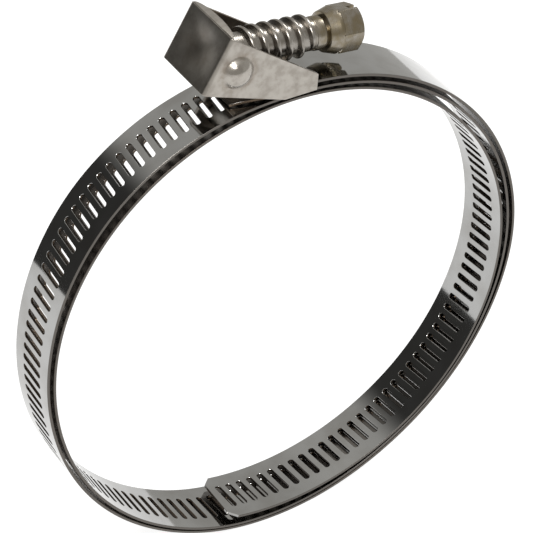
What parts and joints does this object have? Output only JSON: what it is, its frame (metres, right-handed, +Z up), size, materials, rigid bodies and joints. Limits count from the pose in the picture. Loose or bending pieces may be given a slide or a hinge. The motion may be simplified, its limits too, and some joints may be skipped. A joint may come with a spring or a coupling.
{
  "type": "hose clamp",
  "caption": "Quick-release worm-drive hose clamp: a coiled slotted steel band, a folded sheet housing, and a hex-head worm screw on a swivel block.",
  "frame": {"origin": "centre of the hose seat, on the hose's axis, half way across the band", "axes": "+Y along the hose, +Z up from the hose's axis to the top of the ring where the housing sits, +X the way the screw's head points"},
  "size_m": [0.1042, 0.0188, 0.12],
  "materials": {
    "band_steel": "bright rolled stainless strip",
    "housing_steel": "pressed stainless sheet, satin",
    "screw_steel": "passivated rolled-thread steel, faintly golden",
    "block_steel": "plain turned steel"
  },
  "bodies": {
    "ring": {"band": "band_steel", "housing": "housing_steel"},
    "swivel": {"swivel_block": "block_steel"},
    "screw": {"worm_screw": "screw_steel", "retaining_washer": "block_steel"}
  },
  "joints": [
    {"name": "screw_swing", "type": "hinge", "parent": "ring", "child": "swivel", "pos_m": [-0.0115, 0, 0.06031], "axis": [0, -1, 0], "range_deg": [-2.5, 48]},
    {"name": "screw_turn", "type": "hinge", "parent": "swivel", "child": "screw", "pos_m": [-0.0115, 0, 0.06031], "axis": [0.991, 0, -0.134], "continuous": true}
  ]
}
